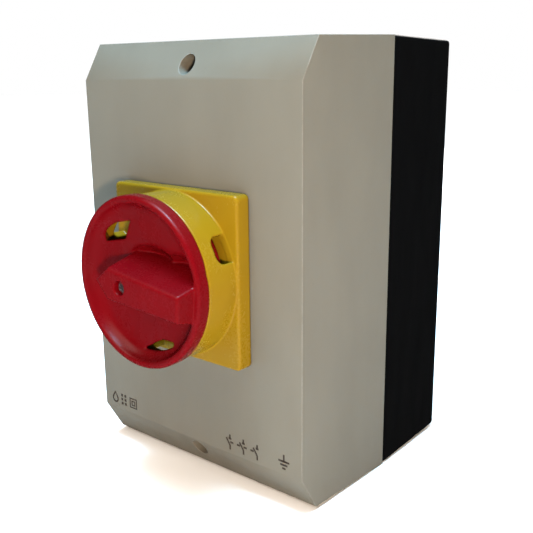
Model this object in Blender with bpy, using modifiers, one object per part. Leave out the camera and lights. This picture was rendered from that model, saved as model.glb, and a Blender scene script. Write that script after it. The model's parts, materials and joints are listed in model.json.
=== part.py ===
"""Enclosed rotary isolator switch, three poles, with a padlockable red handle.

Everything is modelled lying on its back in the frame of the wall: x to the
right, y up the wall and z out of the wall, in millimetres. One empty then
stands that frame upright, so in the world +Z is up and the handle faces -Y.
"""

import math

import bmesh
import bpy

MM = 0.001
CLEAR = 0.3                       # gap kept between pieces that touch

# Enclosure: half width and half height at each height above the wall
BASE_BACK = (0.0, 56.0, 86.0)
SEAM = 46.0
SEAM_HALF_W = 57.0
SEAM_HALF_H = 87.0
COVER_BACK = SEAM + 0.4
SHOULDER = (92.4, 56.1, 85.7)     # where the sloping top and bottom faces start
FRONT = (101.0, 55.9, 71.3)
BASE_WALL = 4.0
BASE_FLOOR = 3.0
COVER_WALL = 2.6
GROOVE_W = 2.2
GROOVE_D = 1.5

# Cover screws, deep in the sloping faces
COVER_SCREW_Y = 77.0
PILLAR_R = 5.5
PILLAR_TOP = SEAM - 0.3
TUBE_R = 6.0
TUBE_RECESS_R = 4.0
TUBE_FLOOR = 54.0

# Yellow padlock plate with its round collar
PLATE_SIDE = 65.0
PLATE_BACK = FRONT[0] + CLEAR
PLATE_FRONT = 107.8
PLATE_CORNER = 2.0
PLATE_SCREW_XY = 26.0
COLLAR_R = 31.75
COLLAR_INNER_R = 28.9
COLLAR_TOP = 121.5
COLLAR_WINDOW_ANGLES = (26.0, 146.0, 266.0)
COLLAR_WINDOW_W = 10.5
COLLAR_WINDOW_TOP = 115.5

# Red handle
KNOB_R = 32.25
KNOB_BACK = 121.9
KNOB_TOP = 127.5
KNOB_FACE = 122.6
KNOB_SKIRT_R = 28.4
KNOB_SKIRT_BACK = 113.5
KNOB_UNDERSIDE = 119.4
UPPER_WINDOW = ((-7.6, 21.5), (-15.0, 20.2), (-21.0, 18.2), (-25.0, 14.4), (-25.6, 12.2),
                (-11.3, 14.9))
LOWER_WINDOW_EDGE = ((-4.0, -27.4), (7.3, -21.1), (15.0, -21.0))
LOWER_WINDOW_R = 28.5
GRIP_TOP = 135.3
GRIP_OUTLINE = ((-13.0, 0.0), (-6.5, -6.0), (30.0, -4.8), (30.0, 4.8), (-6.5, 6.0))
GRIP_TURN = math.radians(-5.0)    # OFF stops just past level

# Drive from the handle to the switch
DRIVER_R = 6.6
DRIVER_BACK = 88.0
DRIVER_TOP = 117.0
SHAFT_SIDE = 5.0
SHAFT_BACK = 37.0
SHAFT_TOP = 105.0
SOCKET_SIDE = SHAFT_SIDE + 2 * CLEAR

# Switch body
RAIL_BACK = 6.3
RAIL_DEPTH = 7.5
RAIL_FRONT = RAIL_BACK + RAIL_DEPTH
RAIL_SCREW_X = 38.0
SWITCH_HALF_W = 38.0
SWITCH_HALF_H = 34.0
REAR_BACK = RAIL_FRONT + CLEAR
REAR_FRONT = 46.0
DECK_BACK = REAR_FRONT + CLEAR
FLANGE_TOP = 49.3
DECK_FRONT = 67.0
DECK_HALF_H = 15.5
CAVITY_TOP = 62.0

# Gearing: three equal pinions under one rack
MODULE = 1.0
TEETH = 12
PITCH_R = MODULE * TEETH / 2
TOOTH_PITCH = math.pi * MODULE
POLE_PITCH = 7 * TOOTH_PITCH
ADDENDUM = 0.85
DEDENDUM = 1.25
TOOTH_W = 1.15                    # at the pitch line, less than half a pitch
GEAR_BACK = 48.5
GEAR_FRONT = 54.5
RACK_LEFT = -35.4
RACK_RIGHT = 26.2
RACK_TOP = 12.9

# Contacts
CHAMBER_R = 9.9
CHAMBER_FLOOR = 20.0
ROTOR_R = 6.4
BLADE_Z = 33.0
BLADE_LENGTH = 18.0
BLADE_WIDTH = 6.0
BLADE_THICK = 2.0
CONTACT_W = 8.0
TERMINAL_Y = 25.0
POLES = (-1, 0, 1)

# Earth and neutral terminal blocks: middle, half size and height above the wall
WIRE_TERMINAL_X = 38.0
WIRE_TERMINAL_Y = -53.0
WIRE_TERMINAL_HALF_W = 8.0
WIRE_TERMINAL_HALF_H = 5.0
WIRE_TERMINAL_Z = (10.3, 19.5)
WIRE_SPACING = 8.0
PAD_TOP = WIRE_TERMINAL_Z[0] - CLEAR

# Holes that fix the base to the wall
FIXING_X = 42.0
FIXING_Y = 70.0
FIXING_R = 2.6

SCREW_STEPS = 12
SMALL_HOLE_STEPS = 12

COLOURS = {
    "cover_grey": ((0.50, 0.48, 0.44), 0.45, 0.0),
    "base_black": ((0.012, 0.012, 0.013), 0.5, 0.0),
    "lock_yellow": ((0.80, 0.52, 0.03), 0.35, 0.0),
    "handle_red": ((0.42, 0.006, 0.012), 0.32, 0.0),
    "seal_rubber": ((0.02, 0.02, 0.02), 0.8, 0.0),
    "zinc_steel": ((0.55, 0.56, 0.58), 0.35, 1.0),
    "switch_grey": ((0.16, 0.17, 0.18), 0.5, 0.0),
    "rotor_ivory": ((0.62, 0.58, 0.48), 0.5, 0.0),
    "gear_white": ((0.75, 0.74, 0.70), 0.45, 0.0),
    "contact_copper": ((0.72, 0.36, 0.20), 0.3, 1.0),
    "terminal_brass": ((0.72, 0.55, 0.24), 0.3, 1.0),
    "driver_black": ((0.03, 0.03, 0.03), 0.5, 0.0),
    "spring_steel": ((0.45, 0.46, 0.48), 0.25, 1.0),
}


# ---------------------------------------------------------------- scene set-up

def clear_scene():
    for item in list(bpy.data.objects):
        bpy.data.objects.remove(item, do_unlink=True)


def new_collection(name):
    collection = bpy.data.collections.new(name)
    bpy.context.scene.collection.children.link(collection)
    return collection


def empty(name, parent=None):
    item = bpy.data.objects.new(name, None)
    PARTS.objects.link(item)
    item.parent = parent
    item.empty_display_size = 0.02
    return item


def material(name):
    found = bpy.data.materials.get(name)
    if found:
        return found
    colour, roughness, metallic = COLOURS[name]
    made = bpy.data.materials.new(name)
    made.use_nodes = True
    shader = made.node_tree.nodes["Principled BSDF"]
    shader.inputs["Base Color"].default_value = (*colour, 1.0)
    shader.inputs["Roughness"].default_value = roughness
    shader.inputs["Metallic"].default_value = metallic
    made.diffuse_color = (*colour, 1.0)
    return made


# ---------------------------------------------------------------- shape tools

def solid(name, mesh, at=(0.0, 0.0, 0.0), turn=(0.0, 0.0, 0.0)):
    """Put a mesh drawn in millimetres into the scene, as metres."""
    for vertex in mesh.vertices:
        vertex.co *= MM
    item = bpy.data.objects.new(name, mesh)
    item.location = [value * MM for value in at]
    item.rotation_euler = turn
    PARTS.objects.link(item)
    return item


def from_bmesh(name, bm, at=(0.0, 0.0, 0.0), turn=(0.0, 0.0, 0.0)):
    bmesh.ops.recalc_face_normals(bm, faces=bm.faces)
    mesh = bpy.data.meshes.new(name)
    bm.to_mesh(mesh)
    bm.free()
    return solid(name, mesh, at, turn)


def block(name, low, high, at=(0.0, 0.0, 0.0), turn=(0.0, 0.0, 0.0)):
    """Box between two opposite corners."""
    bm = bmesh.new()
    bmesh.ops.create_cube(bm, size=1.0)
    for vertex in bm.verts:
        for axis in range(3):
            share = vertex.co[axis] + 0.5
            vertex.co[axis] = low[axis] + share * (high[axis] - low[axis])
    return from_bmesh(name, bm, at, turn)


def rod(name, radius, low, high, x=0.0, y=0.0, segments=24):
    """Cylinder that stands out of the wall."""
    bm = bmesh.new()
    bmesh.ops.create_cone(bm, cap_ends=True, segments=segments, radius1=radius,
                          radius2=radius, depth=high - low)
    for vertex in bm.verts:
        vertex.co.z += (low + high) / 2
    return from_bmesh(name, bm, (x, y, 0.0))


def cross_rod(name, radius, x, low_y, high_y, z, segments=12):
    """Cylinder that runs up the wall."""
    bm = bmesh.new()
    bmesh.ops.create_cone(bm, cap_ends=True, segments=segments, radius1=radius,
                          radius2=radius, depth=high_y - low_y)
    middle = (low_y + high_y) / 2
    return from_bmesh(name, bm, (x, middle, z), (math.pi / 2, 0.0, 0.0))


def turned(name, profile, x=0.0, y=0.0, steps=24):
    """Round shape from a profile of (radius, z), read down its outer side."""
    mesh = bpy.data.meshes.new(name)
    edges = [(i, i + 1) for i in range(len(profile) - 1)]
    mesh.from_pydata([(radius, 0.0, z) for radius, z in profile], edges, [])
    item = solid(name, mesh, (x, y, 0.0))
    screw = item.modifiers.new("turn", "SCREW")
    screw.axis = "Z"
    screw.angle = 2 * math.pi
    screw.steps = steps
    screw.render_steps = steps
    screw.use_merge_vertices = True
    screw.merge_threshold = 0.00001
    return item


def ring(name, inner, outer, low, high, x=0.0, y=0.0, steps=24):
    profile = ((outer, high), (outer, low), (inner, low), (inner, high), (outer, high))
    return turned(name, profile, x, y, steps)


def outline(name, points, low, high, along="z"):
    """Flat outline drawn out along z, or along x with points of (y, z)."""
    curve = bpy.data.curves.new(name, "CURVE")
    curve.dimensions = "2D"
    curve.fill_mode = "BOTH"
    curve.extrude = (high - low) / 2
    spline = curve.splines.new("POLY")
    spline.points.add(len(points) - 1)
    for point, (u, v) in zip(spline.points, points):
        point.co = (u, v, 0.0, 1.0)
    spline.use_cyclic_u = True
    drawn = bpy.data.objects.new(name + "_outline", curve)
    PARTS.objects.link(drawn)
    bpy.context.view_layer.update()
    shape = drawn.evaluated_get(bpy.context.evaluated_depsgraph_get())
    mesh = bpy.data.meshes.new_from_object(shape)
    bpy.data.objects.remove(drawn, do_unlink=True)
    bm = bmesh.new()
    bm.from_mesh(mesh)
    bpy.data.meshes.remove(mesh)
    bmesh.ops.remove_doubles(bm, verts=bm.verts, dist=0.0001)
    middle = (low + high) / 2
    if along == "x":
        return from_bmesh(name, bm, (middle, 0.0, 0.0), (math.pi / 2, 0.0, math.pi / 2))
    return from_bmesh(name, bm, (0.0, 0.0, middle))


def sectioned_box(name, sections):
    """Box whose half width and half height change with the height above the wall."""
    bm = bmesh.new()
    bmesh.ops.create_cube(bm, size=1.0)
    low, high = sections[0][0], sections[-1][0]
    for vertex in bm.verts:
        vertex.co.z = low if vertex.co.z < 0 else high
    for z, _, _ in sections[1:-1]:
        everything = bm.verts[:] + bm.edges[:] + bm.faces[:]
        bmesh.ops.bisect_plane(bm, geom=everything, dist=0.0001, plane_co=(0, 0, z),
                               plane_no=(0, 0, 1))
    for vertex in bm.verts:
        z, half_w, half_h = min(sections, key=lambda row: abs(row[0] - vertex.co.z))
        vertex.co.x = math.copysign(half_w, vertex.co.x)
        vertex.co.y = math.copysign(half_h, vertex.co.y)
        vertex.co.z = z
    return from_bmesh(name, bm)


def shrink(sections, by):
    return [(z, half_w - by, half_h - by) for z, half_w, half_h in sections]


def bevel(item, width, segments=2, angle=40.0):
    modifier = item.modifiers.new("soft_edges", "BEVEL")
    modifier.width = width * MM
    modifier.segments = segments
    modifier.limit_method = "ANGLE"
    modifier.angle_limit = math.radians(angle)
    return item


def combine(item, tool, operation):
    """Cut or join with a tool, which moves to the cutters."""
    PARTS.objects.unlink(tool)
    CUTTERS.objects.link(tool)
    tool.name = item.name + "_tool_" + str(len(item.modifiers))
    tool.parent = FRAME
    tool.hide_render = True
    tool.display_type = "WIRE"
    modifier = item.modifiers.new(operation.lower(), "BOOLEAN")
    modifier.operation = operation
    modifier.solver = "EXACT"
    modifier.object = tool
    return item


def cut(item, *tools):
    for tool in tools:
        combine(item, tool, "DIFFERENCE")
    return item


def join(item, *tools):
    for tool in tools:
        combine(item, tool, "UNION")
    return item


def keep(item, parent, surface):
    """Finish a piece: its parent body, its material and smooth round faces."""
    item.parent = parent
    item.data.materials.append(material(surface))
    for face in item.data.polygons:
        face.use_smooth = True
    item.data.set_sharp_from_angle(angle=math.radians(35))
    return item


def slotted_screw(name, x, y, head, shank, parent, surface="zinc_steel"):
    """Screw facing out of the wall: head and shank are each (radius, low, high)."""
    head_r, head_low, head_high = head
    shank_r, tip, _ = shank
    profile = ((0.0, head_high), (head_r, head_high), (head_r, head_low),
               (shank_r, head_low), (shank_r, tip), (0.0, tip))
    item = turned(name, profile, x, y, SCREW_STEPS)
    slot = block("slot", (x - head_r - 1, y - 0.5, head_high - 0.9),
                 (x + head_r + 1, y + 0.5, head_high + 1))
    cut(item, slot)
    return keep(item, parent, surface)


def lower_window():
    """Outline of the lower window: straight inner edges and an outer arc."""
    first, last = LOWER_WINDOW_EDGE[0], LOWER_WINDOW_EDGE[-1]
    start = math.atan2(last[1], last[0]) + 0.2
    end = math.atan2(first[1], first[0])
    angles = [start + (end - start) * step / 6 for step in range(7)]
    arc = [(LOWER_WINDOW_R * math.cos(a), LOWER_WINDOW_R * math.sin(a)) for a in angles]
    return list(LOWER_WINDOW_EDGE) + arc


# ---------------------------------------------------------------- enclosure

def base_box():
    sections = [BASE_BACK, (SEAM, SEAM_HALF_W, SEAM_HALF_H)]
    box = bevel(sectioned_box("base_box", sections), 1.5)
    inside = shrink([(BASE_FLOOR, 56.0, 86.0), (SEAM + 1, SEAM_HALF_W, SEAM_HALF_H)], BASE_WALL)
    cut(box, sectioned_box("inside", inside))
    for sign in (-1, 1):
        y = sign * COVER_SCREW_Y
        join(box, rod("pillar", PILLAR_R, BASE_FLOOR - 1, PILLAR_TOP, 0.0, y))
        cut(box, rod("bore", 2.3, 20.0, SEAM + 1, 0.0, y, SMALL_HOLE_STEPS))
        x = sign * RAIL_SCREW_X
        join(box, block("rail_pad", (x - 6, -13, BASE_FLOOR - 1), (x + 6, 13, RAIL_BACK - CLEAR)))
        cut(box, rod("rail_bore", 2.1, 1.2, RAIL_BACK, x, 0.0, SMALL_HOLE_STEPS))
        x, pad_w, pad_h = sign * WIRE_TERMINAL_X, WIRE_TERMINAL_HALF_W + 1, WIRE_TERMINAL_HALF_H + 1
        join(box, block("terminal_pad", (x - pad_w, WIRE_TERMINAL_Y - pad_h, BASE_FLOOR - 1),
                        (x + pad_w, WIRE_TERMINAL_Y + pad_h, PAD_TOP)))
        for fixing_y in (-FIXING_Y, FIXING_Y):
            cut(box, rod("fixing_hole", FIXING_R, -1.0, BASE_FLOOR + 1, sign * FIXING_X, fixing_y,
                         SMALL_HOLE_STEPS))
    outer = shrink([(SEAM - GROOVE_D, SEAM_HALF_W, SEAM_HALF_H),
                    (SEAM + 1, SEAM_HALF_W, SEAM_HALF_H)], 0.9)
    inner = shrink([(SEAM - GROOVE_D - 1, SEAM_HALF_W, SEAM_HALF_H),
                    (SEAM + 2, SEAM_HALF_W, SEAM_HALF_H)], 0.9 + GROOVE_W)
    cut(box, cut(sectioned_box("groove", outer), sectioned_box("groove_inner", inner)))
    keep(box, FRAME, "base_black")


def cover_gasket():
    low, high = SEAM - GROOVE_D + CLEAR, SEAM + 0.1
    outer = shrink([(low, SEAM_HALF_W, SEAM_HALF_H), (high, SEAM_HALF_W, SEAM_HALF_H)], 0.9 + CLEAR)
    inner = shrink([(low - 1, SEAM_HALF_W, SEAM_HALF_H), (high + 1, SEAM_HALF_W, SEAM_HALF_H)],
                   0.9 + GROOVE_W - CLEAR)
    gasket = cut(sectioned_box("cover_gasket", outer), sectioned_box("gasket_inner", inner))
    keep(gasket, FRAME, "seal_rubber")


def cover_shell():
    sections = [(COVER_BACK, SEAM_HALF_W, SEAM_HALF_H), SHOULDER, FRONT]
    shell = bevel(sectioned_box("cover_shell", sections), 1.2, angle=20.0)
    inside = [(COVER_BACK - 1, SEAM_HALF_W - COVER_WALL, SEAM_HALF_H - COVER_WALL),
              (SHOULDER[0] - 1.2, SHOULDER[1] - COVER_WALL, SHOULDER[2] - COVER_WALL),
              (FRONT[0] - COVER_WALL, FRONT[1] - COVER_WALL, FRONT[2] - 1.6)]
    hollow = sectioned_box("inside", inside)
    for sign in (-1, 1):
        cut(hollow, rod("tube", TUBE_R, COVER_BACK, FRONT[0], 0.0, sign * COVER_SCREW_Y))
    cut(shell, hollow)
    for sign in (-1, 1):
        y = sign * COVER_SCREW_Y
        cut(shell, rod("recess", TUBE_RECESS_R, TUBE_FLOOR, FRONT[0] + 2, 0.0, y))
        cut(shell, rod("screw_hole", 2.4, COVER_BACK - 1, TUBE_FLOOR + 1, 0.0, y, SMALL_HOLE_STEPS))
    cut(shell, rod("driver_hole", DRIVER_R + 0.8, FRONT[0] - 5, FRONT[0] + 1))
    for x, y in plate_screw_places():
        cut(shell, rod("plate_screw_hole", 1.9, FRONT[0] - 5, FRONT[0] + 1, x, y, SMALL_HOLE_STEPS))
    keep(shell, COVER, "cover_grey")


def cover_screws():
    for name, sign in (("top", 1), ("bottom", -1)):
        y = sign * COVER_SCREW_Y
        seal_top = TUBE_FLOOR + CLEAR + 1.0
        seal = ring("cover_screw_seal_" + name, 2.4, 3.6, TUBE_FLOOR + CLEAR, seal_top, 0.0, y, 16)
        keep(seal, COVER, "seal_rubber")
        slotted_screw("cover_screw_" + name, 0.0, y, (3.6, seal_top + CLEAR, seal_top + 3.6),
                      (2.0, 23.0, seal_top), COVER)


# ---------------------------------------------------------------- plate and handle

def plate_screw_places():
    corners = ((1, 1), (-1, 1), (-1, -1), (1, -1))
    return [(sx * PLATE_SCREW_XY, sy * PLATE_SCREW_XY) for sx, sy in corners]


def padlock_plate():
    half = PLATE_SIDE / 2
    plate = block("padlock_plate", (-half, -half, PLATE_BACK), (half, half, PLATE_FRONT))
    bevel(plate, PLATE_CORNER)
    join(plate, ring("collar", COLLAR_INNER_R, COLLAR_R, PLATE_FRONT - 1, COLLAR_TOP, steps=48))
    for angle in COLLAR_WINDOW_ANGLES:
        window = block("window", (COLLAR_INNER_R - 3, -COLLAR_WINDOW_W / 2, PLATE_FRONT + 0.2),
                       (COLLAR_R + 2, COLLAR_WINDOW_W / 2, COLLAR_WINDOW_TOP))
        window.rotation_euler = (0.0, 0.0, math.radians(angle))
        cut(plate, window)
    cut(plate, rod("driver_bore", DRIVER_R + 0.4, PLATE_BACK - 1, PLATE_FRONT + 1))
    cut(plate, rod("seal_recess", DRIVER_R + 2.8, PLATE_BACK - 1, PLATE_BACK + 2.6))
    cut(plate, ring("gasket_groove", 11.5, 15.5, PLATE_BACK - 1, PLATE_BACK + 1.1))
    for x, y in plate_screw_places():
        cut(plate, rod("screw_bore", 1.8, PLATE_BACK - 1, PLATE_FRONT - 1.6, x, y, SMALL_HOLE_STEPS))
    keep(plate, COVER, "lock_yellow")


def plate_fittings():
    keep(ring("plate_gasket", 11.8, 15.2, PLATE_BACK, PLATE_BACK + 0.8), COVER, "seal_rubber")
    seal = ring("handle_seal", DRIVER_R + 0.3, DRIVER_R + 2.5, PLATE_BACK, PLATE_BACK + 2.3)
    keep(seal, COVER, "seal_rubber")
    inner_face = FRONT[0] - COVER_WALL
    for number, (x, y) in enumerate(plate_screw_places(), 1):
        profile = ((0.0, PLATE_FRONT - 2.2), (1.5, PLATE_FRONT - 2.2), (1.5, inner_face - CLEAR),
                   (3.0, inner_face - CLEAR), (3.0, inner_face - 2.6), (0.0, inner_face - 2.6))
        screw = turned("plate_screw_" + str(number), profile, x, y, SCREW_STEPS)
        keep(screw, COVER, "zinc_steel")


def handle_knob():
    profile = ((0.0, KNOB_FACE - 0.5), (27.6, KNOB_FACE), (29.2, KNOB_TOP - 1.0), (30.2, KNOB_TOP),
               (31.4, KNOB_TOP - 0.2), (KNOB_R, KNOB_TOP - 1.2), (KNOB_R, KNOB_BACK + 0.5),
               (KNOB_R - 0.5, KNOB_BACK), (KNOB_SKIRT_R, KNOB_BACK), (KNOB_SKIRT_R, KNOB_SKIRT_BACK),
               (KNOB_SKIRT_R - 2.0, KNOB_SKIRT_BACK), (KNOB_SKIRT_R - 2.0, KNOB_UNDERSIDE),
               (9.0, KNOB_UNDERSIDE), (9.0, 108.6), (DRIVER_R + CLEAR, 108.6), (DRIVER_R + CLEAR, DRIVER_TOP + CLEAR),
               (0.0, DRIVER_TOP + CLEAR))
    knob = turned("handle_knob", profile, steps=44)
    for window in (UPPER_WINDOW, lower_window()):
        cut(knob, outline("window", window, 112.0, 130.0))
    grip = bevel(outline("grip", GRIP_OUTLINE, KNOB_BACK + 0.1, GRIP_TOP), 0.8)
    grip.rotation_euler.z = GRIP_TURN
    join(knob, grip)
    cut(knob, rod("screw_recess", 2.9, 131.4, GRIP_TOP + 1, segments=16))
    cut(knob, rod("screw_hole", 1.8, DRIVER_TOP - 1, 132.0, segments=16))
    keep(knob, HANDLE, "handle_red")


def handle_fittings():
    slotted_screw("handle_screw", 0.0, 0.0, (2.5, 131.7, 134.1), (1.5, 111.5, 132.0), HANDLE)
    driver = rod("handle_driver", DRIVER_R, DRIVER_BACK, DRIVER_TOP)
    half = SOCKET_SIDE / 2
    cut(driver, block("socket", (-half, -half, DRIVER_BACK - 1), (half, half, SHAFT_TOP + 1.5)))
    cut(driver, rod("thread", 1.8, 110.5, DRIVER_TOP + 1, segments=16))
    keep(driver, HANDLE, "driver_black")


# ---------------------------------------------------------------- switch body

def din_rail():
    back, front = RAIL_BACK, RAIL_FRONT
    half = [(17.5, front - 1), (13.5, front - 1), (13.5, back)]
    inner = [(12.5, back + 1), (12.5, front), (17.5, front)]
    points = half + [(-y, z) for y, z in reversed(half)]
    points += [(-y, z) for y, z in reversed(inner)] + inner
    rail = outline("din_rail", points, -46.0, 46.0, "x")
    for sign in (-1, 1):
        cut(rail, rod("rail_hole", 2.3, back - 1, back + 2, sign * RAIL_SCREW_X, 0.0, SMALL_HOLE_STEPS))
    keep(rail, FRAME, "zinc_steel")
    for sign, name in ((-1, "left"), (1, "right")):
        slotted_screw("din_rail_screw_" + name, sign * RAIL_SCREW_X, 0.0, (3.5, back + 1.3, back + 3.5),
                      (1.8, 1.6, back), FRAME)


def din_clip():
    points = ((-15.0, 10.4), (-15.0, 12.4), (-17.9, 12.4), (-17.9, RAIL_FRONT), (-38.0, RAIL_FRONT),
              (-38.0, 11.6), (-20.0, 11.6), (-20.0, 10.4))
    keep(outline("din_clip", points, -8.0, 8.0, "x"), FRAME, "driver_black")


def switch_rear_housing():
    low = (-SWITCH_HALF_W, -SWITCH_HALF_H, REAR_BACK)
    high = (SWITCH_HALF_W, SWITCH_HALF_H, REAR_FRONT)
    housing = bevel(block("switch_rear_housing", low, high), 0.8, 1)
    hook = ((15.0, 10.4), (15.0, 12.4), (17.9, 12.4), (17.9, REAR_BACK + 1), (22.0, REAR_BACK + 1),
            (22.0, 10.4))
    join(housing, outline("rail_hook", hook, -12.0, 12.0, "x"))
    for pole in POLES:
        x = pole * POLE_PITCH
        cut(housing, rod("chamber", CHAMBER_R, CHAMBER_FLOOR, REAR_FRONT + 1, x, 0.0))
        cut(housing, rod("pivot_bore", 2.3, 16.6, CHAMBER_FLOOR + 1, x, 0.0, SMALL_HOLE_STEPS))
        slot_w = CONTACT_W / 2 + CLEAR
        cut(housing, block("slot", (x - slot_w, -SWITCH_HALF_H - 1, 28.0),
                           (x + slot_w, SWITCH_HALF_H + 1, REAR_FRONT + 1)))
    for x, y in housing_screw_places():
        cut(housing, rod("screw_bore", 1.8, 24.0, REAR_FRONT + 1, x, y, SMALL_HOLE_STEPS))
    keep(housing, FRAME, "switch_grey")


def switch_front_housing():
    half = ((SWITCH_HALF_H, DECK_BACK), (SWITCH_HALF_H, FLANGE_TOP), (DECK_HALF_H, FLANGE_TOP),
            (DECK_HALF_H, DECK_FRONT))
    points = list(half) + [(-y, z) for y, z in reversed(half)]
    housing = outline("switch_front_housing", points, -SWITCH_HALF_W, SWITCH_HALF_W, "x")
    cut(housing, block("cavity", (1.7 - SWITCH_HALF_W, -12.6, DECK_BACK - 1),
                       (SWITCH_HALF_W - 1.7, RACK_TOP + CLEAR, CAVITY_TOP)))
    for sign in (-1, 1):
        x = sign * 18.0
        join(housing, block("spring_seat", (x - 2, -14.0, GEAR_FRONT + 1.0),
                            (x + 2, -11.5, CAVITY_TOP + 1)))
    cut(housing, rod("shaft_bore", 7.1, CAVITY_TOP - 1, DECK_FRONT + 1))
    for pole in POLES:
        x = pole * POLE_PITCH
        if pole:
            cut(housing, rod("journal_bore", 3.3, CAVITY_TOP - 1, CAVITY_TOP + 2.4, x, 0.0,
                             SMALL_HOLE_STEPS))
        for sign in (-1, 1):
            cut(housing, rod("terminal_access", 3.4, DECK_BACK - 1, FLANGE_TOP + 1, x,
                             sign * TERMINAL_Y, SMALL_HOLE_STEPS))
    for x, y in housing_screw_places():
        cut(housing, rod("screw_hole", 1.9, DECK_BACK - 1, FLANGE_TOP + 1, x, y, SMALL_HOLE_STEPS))
    keep(housing, FRAME, "switch_grey")
    for number, (x, y) in enumerate(housing_screw_places(), 1):
        slotted_screw("housing_screw_" + str(number), x, y, (2.8, FLANGE_TOP + CLEAR, FLANGE_TOP + 2.2),
                      (1.5, 26.0, FLANGE_TOP), FRAME)


def housing_screw_places():
    return [(POLE_PITCH / 2, 21.0), (-POLE_PITCH / 2, -21.0)]


def fixed_contact(name, sign, pole):
    """Forked copper bar: the jaw takes the blade, the outer end takes the wire."""
    gap = BLADE_THICK / 2 + CLEAR
    reach, stop, bend = ROTOR_R + 0.5, 9.8, 14.0
    low, high, outer = BLADE_Z - 3.5, BLADE_Z + 3.5, SWITCH_HALF_H - 1
    half = ((reach, low), (reach, BLADE_Z - gap), (stop, BLADE_Z - gap), (stop, BLADE_Z + gap),
            (reach, BLADE_Z + gap), (reach, high), (outer, high), (outer, high - 3), (bend, high - 3),
            (bend, low))
    x = pole * POLE_PITCH
    points = [(sign * y, z) for y, z in half]
    contact = outline(name, points, x - CONTACT_W / 2, x + CONTACT_W / 2, "x")
    cut(contact, rod("screw_bore", 2.6, high - 4, high + 1, x, sign * TERMINAL_Y, SMALL_HOLE_STEPS))
    keep(contact, FRAME, "contact_copper")


def contacts():
    for number, pole in enumerate(POLES, 1):
        for side, sign in (("line", 1), ("load", -1)):
            fixed_contact(side + "_contact_" + str(number), sign, pole)
            slotted_screw(side + "_terminal_screw_" + str(number), pole * POLE_PITCH, sign * TERMINAL_Y,
                          (3.7, BLADE_Z + 3.8, BLADE_Z + 6.8), (2.3, 29.0, BLADE_Z + 4), FRAME)


def wire_terminal(kind, x, surface):
    """Brass block for two loose wires, each under its own screw."""
    y, low, high = WIRE_TERMINAL_Y, *WIRE_TERMINAL_Z
    terminal = block(kind + "_terminal", (x - WIRE_TERMINAL_HALF_W, y - WIRE_TERMINAL_HALF_H, low),
                     (x + WIRE_TERMINAL_HALF_W, y + WIRE_TERMINAL_HALF_H, high))
    wire_z = low + 3.7
    for number, side in ((1, -WIRE_SPACING / 2), (2, WIRE_SPACING / 2)):
        cut(terminal, cross_rod("wire_bore", 2.4, x + side, y - 7, y + 7, wire_z))
        cut(terminal, rod("screw_bore", 1.8, wire_z, high + 1.5, x + side, y, SMALL_HOLE_STEPS))
        slotted_screw(kind + "_screw_" + str(number), x + side, y, (2.6, high + CLEAR, high + 2.7),
                      (1.5, wire_z + 2.6, high + 0.5), FRAME)
    keep(terminal, FRAME, surface)


# ---------------------------------------------------------------- moving contacts

def gear_outline():
    """Pinion outline: straight-sided teeth with room to run, one tooth at the top."""
    points = []
    root, tip = PITCH_R - DEDENDUM, PITCH_R + ADDENDUM
    root_half, tip_half = 0.9 / root, 0.3 / tip
    for tooth in range(TEETH):
        middle = math.pi / 2 + 2 * math.pi * tooth / TEETH
        for radius, offset in ((root, -root_half), (tip, -tip_half), (tip, tip_half), (root, root_half)):
            points.append((radius * math.cos(middle + offset), radius * math.sin(middle + offset)))
    return points


def rack_bar():
    """Rack over the pinions: teeth point down, with a gap over each pinion at rest."""
    tip, root = PITCH_R - ADDENDUM, PITCH_R + DEDENDUM
    flank = math.tan(math.radians(20))
    tip_half = TOOTH_W / 2 - ADDENDUM * flank
    root_half = TOOTH_W / 2 + DEDENDUM * flank
    points = [(RACK_LEFT, RACK_TOP), (RACK_LEFT, root)]
    first = math.ceil(RACK_LEFT / TOOTH_PITCH)
    for tooth in range(first, int(RACK_RIGHT / TOOTH_PITCH)):
        x = (tooth + 0.5) * TOOTH_PITCH
        points += [(x - root_half, root), (x - tip_half, tip), (x + tip_half, tip), (x + root_half, root)]
    points += [(RACK_RIGHT, root), (RACK_RIGHT, RACK_TOP)]
    keep(outline("rack_bar", points, GEAR_BACK, GEAR_FRONT), RACK, "gear_white")


def pole_rotor(number, pole, parent):
    x = pole * POLE_PITCH
    name = "pole_rotor_" + str(number)
    pivot = ((2.0, CHAMBER_FLOOR + 0.4), (2.0, 17.0), (0.0, 17.0))
    if pole:
        top = ((0.0, CAVITY_TOP + 2), (3.0, CAVITY_TOP + 2), (3.0, REAR_FRONT), (ROTOR_R, REAR_FRONT))
    else:
        top = ((0.0, REAR_FRONT + 2), (ROTOR_R, REAR_FRONT + 2))
    rotor = turned(name, top + ((ROTOR_R, CHAMBER_FLOOR + 0.4),) + pivot, x, 0.0, 24)
    gap = BLADE_THICK / 2 + CLEAR
    half_w = BLADE_WIDTH / 2 + CLEAR
    cut(rotor, block("blade_slot", (x - 9, -half_w, BLADE_Z - gap), (x + 9, half_w, BLADE_Z + gap)))
    if not pole:
        half = SOCKET_SIDE / 2
        cut(rotor, block("socket", (-half, -half, SHAFT_BACK - 0.4), (half, half, REAR_FRONT + 3)))
    keep(rotor, parent, "rotor_ivory")


def moving_blade(number, pole, parent):
    x = pole * POLE_PITCH
    low = (-BLADE_LENGTH / 2, -BLADE_WIDTH / 2, BLADE_Z - BLADE_THICK / 2)
    high = (BLADE_LENGTH / 2, BLADE_WIDTH / 2, BLADE_Z + BLADE_THICK / 2)
    blade = block("moving_blade_" + str(number), low, high, (x, 0.0, 0.0))
    keep(blade, parent, "contact_copper")


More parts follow.
